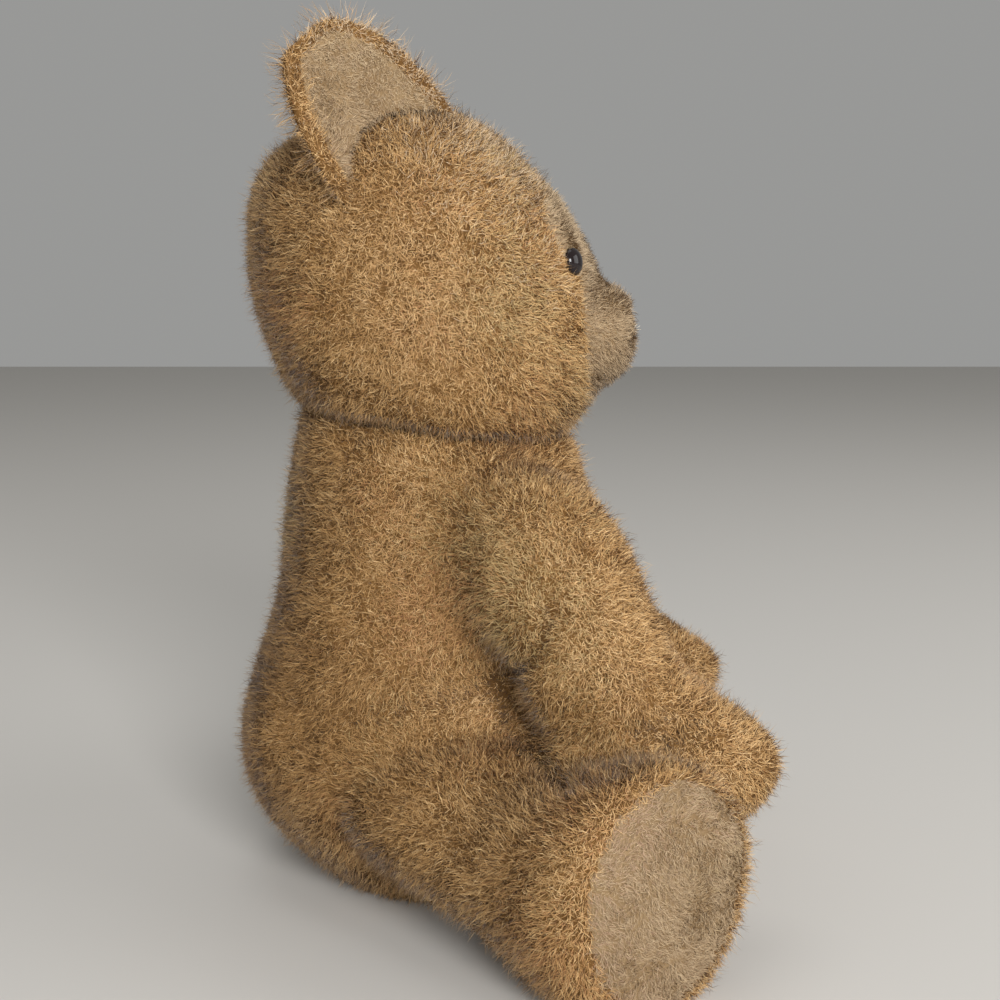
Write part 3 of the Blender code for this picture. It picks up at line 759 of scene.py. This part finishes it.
def strand_corners(roots, middles, tips, bent, facing, width, rng):
    """Each strand's root, the two sides of its middle and its tip, and the way that its flat side faces."""
    run = unit(tips - roots)
    across = unit(np.cross(run, facing) + SMALL)
    turn = np.radians(rng.uniform(-STRAND_TWIST, STRAND_TWIST, len(roots)))[:, None]
    across = across * np.cos(turn) + np.cross(run, across) * np.sin(turn)
    widths = width * rng.uniform(*WIDTH_SPREAD, len(roots)) * np.where(bent, BENT_WIDTH, 1.0)
    half = across * widths[:, None] / 2
    corners = np.stack((roots, middles + half, middles - half, tips), axis=1)
    corners[:, :, 2] = np.maximum(corners[:, :, 2], FLOOR_CLEARANCE)
    flat = np.cross(run, across)
    return corners, flat * np.sign((flat * facing).sum(axis=1, keepdims=True))


def palette_spots(place, bent):
    """Where the corners lie on the palette: in the strand's own column, from its root up to its tip."""
    column = np.minimum((place * COLUMNS).astype(int), COLUMNS - 1)
    left = (column + COLUMN_MARGIN) / COLUMNS
    right = (column + 1 - COLUMN_MARGIN) / COLUMNS
    middle = (left + right) / 2
    root = np.full(len(place), ROOT_V)
    rise = np.where(bent, MIDDLE_V, ROOT_V)
    tip = np.full(len(place), TIP_V)
    return np.stack((np.stack((middle, right, left, middle), axis=1),
                     np.stack((root, rise, rise, tip), axis=1)), axis=2)


def in_mesh_order(rows, bent):
    """The corners of the bent strands, then those of the straight ones, which have no corner at the root."""
    size = rows.shape[2]
    return np.concatenate((rows[bent].reshape(-1, size), rows[~bent, 1:].reshape(-1, size)))


def strand_faces(bent):
    """The triangles' corners: two triangles that meet at the middle of a bent strand, one if straight."""
    straight_from = bent.sum() * 4
    bent_faces = np.arange(bent.sum())[:, None] * 4 + np.array((0, 1, 2, 2, 1, 3))
    straight_faces = straight_from + np.arange((~bent).sum())[:, None] * 3 + np.array((1, 0, 2))
    return np.concatenate((bent_faces.ravel(), straight_faces.ravel()))


def strand_mesh(name, corners, spots, normals, bent):
    """A mesh of strands, each with its own spot on the palette and a normal that is mostly the skin's."""
    points = in_mesh_order(corners, bent)
    faces = strand_faces(bent)
    mesh = bpy.data.meshes.new(name)
    mesh.vertices.add(len(points))
    mesh.vertices.foreach_set("co", points.ravel())
    mesh.loops.add(len(faces))
    mesh.loops.foreach_set("vertex_index", faces)
    mesh.polygons.add(len(faces) // 3)
    mesh.polygons.foreach_set("loop_start", np.arange(len(faces) // 3) * 3)
    mesh.update(calc_edges=True)
    mesh.uv_layers.new(name="OFBake").data.foreach_set("uv", in_mesh_order(spots, bent)[faces].ravel())
    mesh.shade_smooth()
    soft = np.repeat(normals[:, None, :], 4, axis=1)
    mesh.normals_split_custom_set_from_vertices(in_mesh_order(soft, bent).tolist())
    return mesh


def coat_piece(name, skin, chosen, coat, cloth, seed, levels=BODY_LEVELS, hidden_in=None):
    """A coat of strands on the chosen faces of a skin, pulled in and darkened with painted shade at folds and
    at a neighbour.
    """
    rng = np.random.default_rng(SEED * SEED_STEP + seed)
    scattered = scatter(skin, chosen, coat.density, rng)
    roots, facing, shade, toward = trimmed(*scattered, hidden_in, rng)
    middles, tips, bent, centres, own = strands(roots, facing, coat, rng)
    place = columns(roots, centres, own, levels, shade, rng)
    tips = tips + (roots + toward * CREASE_PULL - tips) * shade[:, None] * CREASE_PULL
    below = facing * ROOT_DEPTH
    middles = np.where(bent[:, None], middles, middles - below)
    corners, flat = strand_corners(roots - below, middles, tips, bent, facing, coat.width, rng)
    normals = unit(facing * SKIN_SHARE + flat * (1 - SKIN_SHARE))
    mesh = strand_mesh(name, corners, palette_spots(place, bent), normals, bent)
    piece(name, mesh, cloth.strands, cloth.slot)


# Materials

def new_material(name, roughness, specular, sheen=0.0):
    material = bpy.data.materials.new(name)
    material.use_nodes = True
    nodes = material.node_tree.nodes
    shader = nodes["Principled BSDF"]
    shader.inputs["Roughness"].default_value = roughness
    shader.inputs["Specular IOR Level"].default_value = specular
    shader.inputs["Sheen Weight"].default_value = sheen
    return material, nodes, material.node_tree.links, shader


def srgb(code):
    """A linear colour from its six-figure web code."""
    values = [int(code[i:i + 2], 16) / 255 for i in (0, 2, 4)]
    return (*[v / 12.92 if v <= 0.04045 else ((v + 0.055) / 1.055) ** 2.4 for v in values], 1.0)


def ramp(nodes, stops):
    """A colour ramp with the stops given as (position, web code)."""
    node = nodes.new("ShaderNodeValToRGB")
    node.color_ramp.elements[0].position = stops[0][0]
    node.color_ramp.elements[0].color = srgb(stops[0][1])
    node.color_ramp.elements[1].position = stops[-1][0]
    node.color_ramp.elements[1].color = srgb(stops[-1][1])
    for position, code in stops[1:-1]:
        node.color_ramp.elements.new(position).color = srgb(code)
    return node


def strand_material(name, tip_stops, shaded_root_stops, roughness):
    """A strand's colour: by its palette column across, and along it from a root darkened with painted shade
    to a light tip.
    """
    material, nodes, links, shader = new_material(name, roughness, specular=0.3, sheen=0.12)
    spot = nodes.new("ShaderNodeUVMap")
    spot.uv_map = "OFBake"
    split = nodes.new("ShaderNodeSeparateXYZ")
    links.new(spot.outputs["UV"], split.inputs[0])
    tip, root = ramp(nodes, tip_stops), ramp(nodes, shaded_root_stops)
    for node in (tip, root):
        links.new(split.outputs["X"], node.inputs["Fac"])
    rise = nodes.new("ShaderNodeMapRange")
    rise.interpolation_type = "SMOOTHSTEP"
    rise.inputs["From Min"].default_value = 0.0
    rise.inputs["From Max"].default_value = TIP_COLOUR_FROM
    links.new(split.outputs["Y"], rise.inputs["Value"])
    mix = nodes.new("ShaderNodeMix")
    mix.data_type = "RGBA"
    links.new(rise.outputs["Result"], mix.inputs["Factor"])
    links.new(root.outputs["Color"], mix.inputs["A"])
    links.new(tip.outputs["Color"], mix.inputs["B"])
    links.new(mix.outputs["Result"], shader.inputs["Base Color"])
    return material


def cloth_material(name, stops, scale):
    """Backing cloth, thread or dull nylon: a grain between two colours, finer as the scale grows."""
    material, nodes, links, shader = new_material(name, roughness=0.95, specular=0.1)
    place = nodes.new("ShaderNodeTexCoord")
    cloud = nodes.new("ShaderNodeTexNoise")
    cloud.inputs["Scale"].default_value = scale
    cloud.inputs["Detail"].default_value = CLOTH_DETAIL
    links.new(place.outputs["Object"], cloud.inputs["Vector"])
    colour = ramp(nodes, stops)
    links.new(cloud.outputs["Fac"], colour.inputs["Fac"])
    links.new(colour.outputs["Color"], shader.inputs["Base Color"])
    bump = nodes.new("ShaderNodeBump")
    bump.inputs["Strength"].default_value = CLOTH_BUMP
    bump.inputs["Distance"].default_value = CLOTH_BUMP_HEIGHT
    links.new(cloud.outputs["Fac"], bump.inputs["Height"])
    links.new(bump.outputs["Normal"], shader.inputs["Normal"])
    return material


# A cloth: its slot, its strands' material and the material of its backing
Cloth = namedtuple("Cloth", "slot strands backing")
# Each backing is the cloth under the strands, coloured darker than them as painted shade in the gaps between
# strands
mohair = Cloth("mohair", strand_material("worn_pile", PILE_TIPS, PILE_SHADED_ROOTS, roughness=0.65),
               cloth_material("pile_backing", ((0.3, "543B20"), (0.7, "74542E")), scale=90.0))
short_plush = Cloth("short_plush",
                    strand_material("short_plush_strands", PLUSH_TIPS, PLUSH_SHADED_ROOTS, roughness=0.75),
                    cloth_material("plush_backing", ((0.3, "755E42"), (0.7, "8D7657")), scale=120.0))
thread = cloth_material("worn_black_thread", ((0.3, "1B1512"), (0.7, "3B2E26")), scale=900.0)
pale_thread = cloth_material("pale_thread_ends", ((0.3, "B9AF9E"), (0.7, "DDD5C6")), scale=900.0)
nylon = cloth_material("natural_nylon", ((0.3, "DCDAD2"), (0.7, "E6E4DC")), scale=400.0)
gloss, _, _, gloss_shader = new_material("polished_black", roughness=0.10, specular=0.3)
gloss_shader.inputs["Base Color"].default_value = EYE_BLACK


# Eyes, nose and mouth

def eye_centre(word):
    """The middle of an eye's round edge, sunk and raised from its solid as in the photo, and its way."""
    side = -1 if word == "right" else 1
    facing = Vector((EYE_FACING.x * side, EYE_FACING.y, EYE_FACING.z)).normalized()
    top = max((v.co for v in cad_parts[f"eye_{word}"].data.vertices), key=lambda co: co.dot(facing))
    return top - facing * (EYE_DOME + EYE_SUNK) + Vector((0.0, 0.0, EYE_RAISED)), facing


def turned(name, profile, steps):
    """A turned mesh from a profile of (radius, height) that starts and ends on its axis."""
    shape = bmesh.new()
    line = [shape.verts.new((r, 0.0, z)) for r, z in profile]
    edges = [shape.edges.new(pair) for pair in zip(line, line[1:])]
    bmesh.ops.spin(shape, geom=line + edges, cent=(0, 0, 0), axis=(0, 0, 1), angle=2 * math.pi,
                   steps=steps, use_merge=True)
    bmesh.ops.remove_doubles(shape, verts=shape.verts, dist=0.001 * MM)
    return finished(name, shape)


def finished(name, shape):
    """A smooth mesh from a shape, facing outward."""
    bmesh.ops.recalc_face_normals(shape, faces=shape.faces)
    mesh = bpy.data.meshes.new(name)
    shape.to_mesh(mesh)
    shape.free()
    mesh.shade_smooth()
    return mesh


def make_eye(word, material):
    """A domed eye with a rounded edge, on its shank."""
    bends = [math.pi / 2 * i / DOME_STEPS for i in range(DOME_STEPS + 1)]
    dome = [(EYE_RADIUS * math.sin(bend), EYE_DOME * math.cos(bend)) for bend in bends]
    edge = [(EYE_RADIUS, -EYE_EDGE * (1 - EYE_BEVEL)), (EYE_RADIUS - EYE_EDGE * EYE_BEVEL, -EYE_EDGE)]
    shank = [(SHANK_RADIUS, -EYE_EDGE), (SHANK_RADIUS, -SHANK_LENGTH), (0.0, -SHANK_LENGTH)]
    name = f"domed_eye_{word}"
    mesh = turned(name, dome + edge + shank, EYE_STEPS)
    centre, facing = eye_centre(word)
    mesh.transform(Matrix.Translation(centre) @ facing.to_track_quat("Z", "Y").to_matrix().to_4x4())
    piece(name, mesh, material, "black_eye", f"eye_{word}")


def add_tube(shape, line, radius):
    """Adds a closed thread to a shape, along a line of points, thinner at its two ends."""
    rings = []
    for i, point in enumerate(line):
        run = (line[min(i + 1, len(line) - 1)] - line[max(i - 1, 0)]).normalized()
        across = run.orthogonal().normalized()
        over = run.cross(across)
        along = THREAD_END + (1 - 2 * THREAD_END) * i / (len(line) - 1)
        taper = math.sin(math.pi * along) ** THREAD_BLUNTNESS
        turns = [2 * math.pi * k / STITCH_SIDES for k in range(STITCH_SIDES)]
        outward = [across * math.cos(turn) + over * math.sin(turn) for turn in turns]
        rings.append([shape.verts.new(point + way * radius * taper) for way in outward])
    for lower, upper in zip(rings, rings[1:]):
        for k in range(STITCH_SIDES):
            j = (k + 1) % STITCH_SIDES
            shape.faces.new((lower[k], lower[j], upper[j], upper[k]))
    shape.faces.new(reversed(rings[0]))
    shape.faces.new(rings[-1])


def over_surface(tree, start, end, lift):
    """A line over a surface seen from the front, from one (x, z) to another, raised most at its middle."""
    line = []
    for i in range(STITCH_RINGS):
        share = i / (STITCH_RINGS - 1)
        x, z = (a + (b - a) * share for a, b in zip(start, end))
        place, normal = from_front(tree, x, z)
        if place:
            raised = lift * math.sin(math.pi * share) ** 0.5
            line.append(place + normal * (raised - STITCH_RADIUS * STITCH_SUNK))
    return line


def thread_piece(name, lines, radius, material, *nodes):
    """Threads along some lines, as one piece."""
    shape = bmesh.new()
    for line in lines:
        add_tube(shape, line, radius)
    piece(name, finished(name, shape), material, "black_thread", *nodes)


def make_nose(tree, material):
    """The nose: upright satin stitches side by side, over the whole of the nose's outline."""
    rng = np.random.default_rng(SEED)
    low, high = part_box("nose")
    lines = []
    x = low.x + STITCH_SPACING / 2
    while x < high.x:
        levels = [z for z in np.arange(low.z, high.z, NOSE_LEVEL) if from_front(nose_shape, x, z)[0]]
        if len(levels) > FEWEST_LEVELS:
            bottom = levels[0] + rng.normal(0, RAGGED_BOTTOM)
            top = levels[-1] + rng.normal(0, RAGGED_TOP)
            top_x = x + rng.normal(0, RAGGED_SIDE)
            lines.append(over_surface(tree, (top_x, top), (x, bottom), NOSE_LIFT))
        x += STITCH_SPACING
    thread_piece("nose_stitches", lines, STITCH_RADIUS, material, "nose")


def make_loose_ends(tree, material):
    """Pale ends of thread that stand out from the worn nose."""
    start, _ = from_front(tree, *LOOSE_END_AT)
    shares = [i / LOOSE_END_STEPS for i in range(LOOSE_END_STEPS + 1)]
    lines = [[start + way * share for share in shares] for way in LOOSE_END_WAYS]
    thread_piece("loose_nose_threads", lines, LOOSE_END_RADIUS, material)


def make_mouth(tree, material):
    """One stitch down from the nose and two that part below it."""
    nodes = [f"mouth_stitch_{word}" for word in MOUTH_WORDS]
    lines = []
    for node in nodes:
        low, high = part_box(node)
        inner = min(low.x, high.x, key=abs)
        outer = max(low.x, high.x, key=abs)
        ends = (0, 0) if node == nodes[0] else (inner, outer)
        lines.append(over_surface(tree, (ends[0], high.z), (ends[1], low.z), MOUTH_LIFT))
    thread_piece("mouth_stitches", lines, STITCH_RADIUS, material, *nodes)


# Body, head and ears

def dress_body():
    """The body's skin, and its coat in a piece for each limb and for the belly and the back."""
    skin_piece("body_skin", body_skin, LIMBS, mohair)
    torso = body_skin.owned("torso")
    behind = body_skin.points[body_skin.quads].mean(axis=1)[:, 1] >= BACK_FROM_Y
    coat_piece("coat_belly", body_skin, torso & ~behind, PILE, mohair, seed=1, hidden_in=head_tree)
    coat_piece("coat_back", body_skin, torso & behind, PILE, mohair, seed=2, hidden_in=head_tree)
    for seed, node in enumerate(LIMBS[1:], start=LIMB_SEED):
        coat_piece(f"coat_{node}", body_skin, body_skin.owned(node), PILE, mohair, seed)
    coat_piece("flyaway_body", body_skin, body_skin.owned(*LIMBS), FLYAWAY, mohair, seed=5,
               hidden_in=head_tree)


def dress_head():
    """The head and the face: skins, coats, tufts and loose hair."""
    head = head_skin.owned("head")
    face = head_skin.owned("muzzle")
    skin_piece("head_skin", head_skin, ["head"], mohair)
    skin_piece("muzzle_skin", head_skin, ["muzzle"], short_plush)
    coat_piece("coat_head", head_skin, head, PILE, mohair, seed=3, levels=HEAD_LEVELS, hidden_in=body_tree)
    coat_piece("muzzle_plush", head_skin, face, FACE_PLUSH, short_plush, seed=4, levels=FACE_LEVELS)
    coat_piece("muzzle_tufts", head_skin, face, FACE_TUFTS, short_plush, seed=7, levels=FACE_LEVELS)
    coat_piece("flyaway_head", head_skin, head, FLYAWAY, mohair, seed=6, hidden_in=body_tree)


def dress_pads(word, seed):
    """A foot's sole and a paw's pad."""
    skin_piece(f"sole_{word}", body_skin, [f"foot_pad_{word}"], short_plush)
    skin_piece(f"paw_{word}", body_skin, [f"paw_pad_{word}"], short_plush)
    for node_seed, node in enumerate((f"foot_pad_{word}", f"paw_pad_{word}"), start=seed):
        coat_piece(f"plush_{node}", body_skin, body_skin.owned(node), SOLE_PLUSH, short_plush, node_seed)


def dress_ear(word, seed):
    """An ear with its lining, and the long hair at its rim."""
    skin = make_ear_skin(word)
    ear = skin.owned(f"ear_{word}")
    lining = skin.owned(f"ear_lining_{word}")
    skin_piece(f"ear_skin_{word}", skin, [f"ear_{word}"], mohair)
    skin_piece(f"lining_skin_{word}", skin, [f"ear_lining_{word}"], short_plush)
    coat_piece(f"coat_ear_{word}", skin, ear, EAR_PILE, mohair, seed, hidden_in=face_tree)
    coat_piece(f"rim_hair_{word}", skin, ear, RIM_HAIR, mohair, seed + 1, hidden_in=face_tree)
    coat_piece(f"plush_lining_{word}", skin, lining, SOLE_PLUSH, short_plush, seed + 2, hidden_in=face_tree)


eyes_at = [np.array(eye_centre(word)[0]) for _, word in SIDES]
nose_shape = node_tree("nose")
body_skin = make_body_skin()
head_skin = make_head_skin()
body_tree, head_tree = body_skin.tree(), head_skin.tree()
draw_in(body_skin, head_tree)
draw_in(head_skin, body_tree)
face_tree = head_skin.tree()
dress_body()
dress_head()
for word, pad_seed, ear_seed in SIDE_SEEDS:
    dress_pads(word, pad_seed)
    dress_ear(word, ear_seed)
    make_eye(word, gloss)
    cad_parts[f"eye_washer_{word}"].material_slots[0].material = nylon
make_nose(face_tree, thread)
make_loose_ends(face_tree, pale_thread)
make_mouth(face_tree, thread)


# Camera, floor and light

def make_lamp(row):
    lamp = bpy.data.lights.new(row.name, "AREA")
    lamp.size = row.size
    lamp.energy = row.power
    obj = bpy.data.objects.new(row.name, lamp)
    obj.location = row.at
    obj.rotation_euler = (LIT_PLACE - obj.location).to_track_quat("-Z", "Y").to_euler()
    bpy.context.scene.collection.objects.link(obj)


def make_camera():
    camera = bpy.data.objects.new("camera", bpy.data.cameras.new("camera"))
    camera.data.sensor_width = SENSOR
    camera.data.lens = SENSOR * FOCAL_PIXELS / PHOTO_SIZE
    camera.data.clip_start = CLIP_START
    camera.location = CAMERA_AT
    camera.rotation_euler = camera_axes()[0].to_track_quat("-Z", "Y").to_euler()
    bpy.context.scene.collection.objects.link(camera)
    bpy.context.scene.camera = camera


def make_floor():
    material, _, _, shader = new_material("pale_floor", roughness=0.9, specular=0.1)
    shader.inputs["Base Color"].default_value = srgb(FLOOR_COLOUR)
    mesh = bpy.data.meshes.new("floor")
    corners = [(FLOOR_HALF * x, FLOOR_HALF * y, 0) for x, y in ((-1, -1), (1, -1), (1, 1), (-1, 1))]
    mesh.from_pydata(corners, [], [(0, 1, 2, 3)])
    mesh_object("floor", mesh, material)


def make_room():
    world = bpy.data.worlds.new("room")
    world.use_nodes = True
    grey = world.node_tree.nodes["Background"]
    grey.inputs["Color"].default_value = srgb(ROOM_COLOUR)
    grey.inputs["Strength"].default_value = ROOM_LIGHT
    bpy.context.scene.world = world
    bpy.context.scene.view_settings.view_transform = "Standard"


make_camera()
make_floor()
make_room()
for lamp_row in LAMPS:
    make_lamp(lamp_row)
